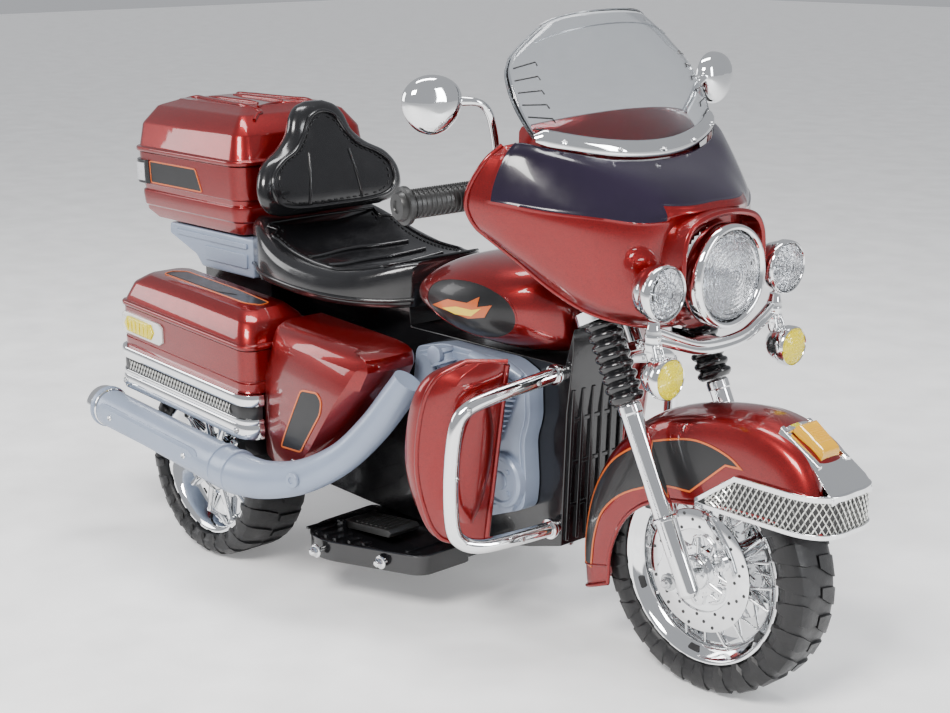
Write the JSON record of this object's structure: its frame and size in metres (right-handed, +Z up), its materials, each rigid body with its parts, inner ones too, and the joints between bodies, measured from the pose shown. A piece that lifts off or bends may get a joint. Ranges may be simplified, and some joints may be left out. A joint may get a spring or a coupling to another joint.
{
  "type": "ride-on toy motorcycle",
  "caption": "Child's battery ride-on touring motorcycle with one front and two rear wheels, bar-mounted fairing, windscreen, saddlebags, top box and long silencers.",
  "frame": {"origin": "on the floor, under the middle of the overall length and width", "axes": "+X forward, +Y to the rider's left, +Z up; the front end is stored steered straight ahead"},
  "size_m": [1.2405, 0.5538, 0.78],
  "materials": {
    "candy_red": "metallic candy red, high gloss",
    "gloss_black": "moulded gloss black",
    "grey_plastic": "blue-grey moulded plastic, satin",
    "chrome": "vacuum-plated bright chrome",
    "steel": "zinc-plated steel",
    "rubber": "soft black",
    "tyre_black": "blow-moulded black with block tread",
    "clear_plastic": "clear polished",
    "amber_lens": "amber, clear",
    "battery_case": "moulded case"
  },
  "bodies": {
    "chassis": {"main_frame": "gloss_black", "battery": "battery_case", "drive_gearbox": "grey_plastic", "tank_cover": "candy_red", "engine_cover_right": "grey_plastic", "engine_cover_left": "grey_plastic", "leg_shield_right": "candy_red", "leg_shield_left": "candy_red", "crash_bar_right": "chrome", "crash_bar_left": "chrome", "footboards": "gloss_black", "footboard_bolt_rear": "chrome", "footboard_bolt_front": "chrome", "exhaust_right": "grey_plastic", "exhaust_left": "grey_plastic", "seat": "gloss_black", "backrest": "gloss_black", "rack": "grey_plastic", "trunk_body": "candy_red", "saddlebag_right": "candy_red", "saddlebag_left": "candy_red", "saddlebag_trim_right": "chrome", "saddlebag_trim_left": "chrome", "rear_axle": "steel"},
    "steering": {"steering_column": "chrome", "fork_leg_right": "chrome", "fork_leg_left": "chrome", "bellows_right": "rubber", "bellows_left": "rubber", "handlebar": "gloss_black", "grip_right": "rubber", "grip_left": "rubber", "fairing": "candy_red", "dash_panel": "candy_red", "windshield": "clear_plastic", "windshield_trim": "chrome", "headlight_bezel": "chrome", "headlight_lens": "clear_plastic", "passing_lamp_right": "chrome", "passing_lamp_left": "chrome", "amber_lamp_right": "amber_lens", "amber_lamp_left": "amber_lens", "lamp_bar": "chrome", "front_fender": "candy_red", "fender_bumper": "chrome", "fender_lamp": "amber_lens", "front_axle": "steel"},
    "front_wheel": {"front_tyre": "tyre_black", "front_rim": "chrome"},
    "rear_wheel_right": {"rear_tyre_right": "tyre_black", "rear_rim_right": "chrome"},
    "rear_wheel_left": {"rear_tyre_left": "tyre_black", "rear_rim_left": "chrome"},
    "trunk_lid": {"trunk_lid": "candy_red"},
    "saddlebag_lid_right": {"saddlebag_lid_right": "candy_red"},
    "saddlebag_lid_left": {"saddlebag_lid_left": "candy_red"},
    "accelerator_pedal": {"accelerator_pedal": "gloss_black"},
    "horn_button": {"horn_button": "candy_red"},
    "mirror_right": {"mirror_right": "chrome"},
    "mirror_left": {"mirror_left": "chrome"}
  },
  "joints": [
    {"name": "steering", "type": "hinge", "parent": "chassis", "child": "steering", "pos_m": [0.41825, 0, 0.15], "axis": [-0.4384, 0, 0.8988], "range_deg": [-25, 25]},
    {"name": "front_wheel_spin", "type": "hinge", "parent": "steering", "child": "front_wheel", "pos_m": [0.43425, 0, 0.15], "axis": [0, 1, 0], "continuous": true},
    {"name": "rear_wheel_right_spin", "type": "hinge", "parent": "chassis", "child": "rear_wheel_right", "pos_m": [-0.33375, -0.1585, 0.133], "axis": [0, 1, 0], "continuous": true},
    {"name": "rear_wheel_left_spin", "type": "hinge", "parent": "chassis", "child": "rear_wheel_left", "pos_m": [-0.33375, 0.1585, 0.133], "axis": [0, 1, 0], "continuous": true},
    {"name": "trunk_lid_hinge", "type": "hinge", "parent": "chassis", "child": "trunk_lid", "pos_m": [-0.61875, 0, 0.547], "axis": [0, -1, 0], "range_deg": [0, 80]},
    {"name": "saddlebag_lid_right_hinge", "type": "hinge", "parent": "chassis", "child": "saddlebag_lid_right", "pos_m": [-0.33375, -0.097, 0.336], "axis": [-0.9985, 0, 0.0549], "range_deg": [0, 18]},
    {"name": "saddlebag_lid_left_hinge", "type": "hinge", "parent": "chassis", "child": "saddlebag_lid_left", "pos_m": [-0.33375, 0.097, 0.336], "axis": [0.9985, 0, -0.0549], "range_deg": [0, 18]},
    {"name": "accelerator_pedal_hinge", "type": "hinge", "parent": "chassis", "child": "accelerator_pedal", "pos_m": [-0.08375, -0.118, 0.0975], "axis": [0, 1, 0], "range_deg": [0, 6], "stiffness_Nm_per_rad": 0.3, "springref_deg": -8.59},
    {"name": "horn_button_slide", "type": "slide", "parent": "steering", "child": "horn_button", "axis": [0, 0, -1], "range_m": [0, 0.003], "stiffness_N_per_m": 60, "springref_m": -0.002},
    {"name": "mirror_right_swivel", "type": "hinge", "parent": "steering", "child": "mirror_right", "pos_m": [0.21434, -0.146, 0.5962], "axis": [0, 0, 1], "range_deg": [-15, 15]},
    {"name": "mirror_left_swivel", "type": "hinge", "parent": "steering", "child": "mirror_left", "pos_m": [0.21434, 0.146, 0.5962], "axis": [0, 0, 1], "range_deg": [-15, 15]}
  ]
}
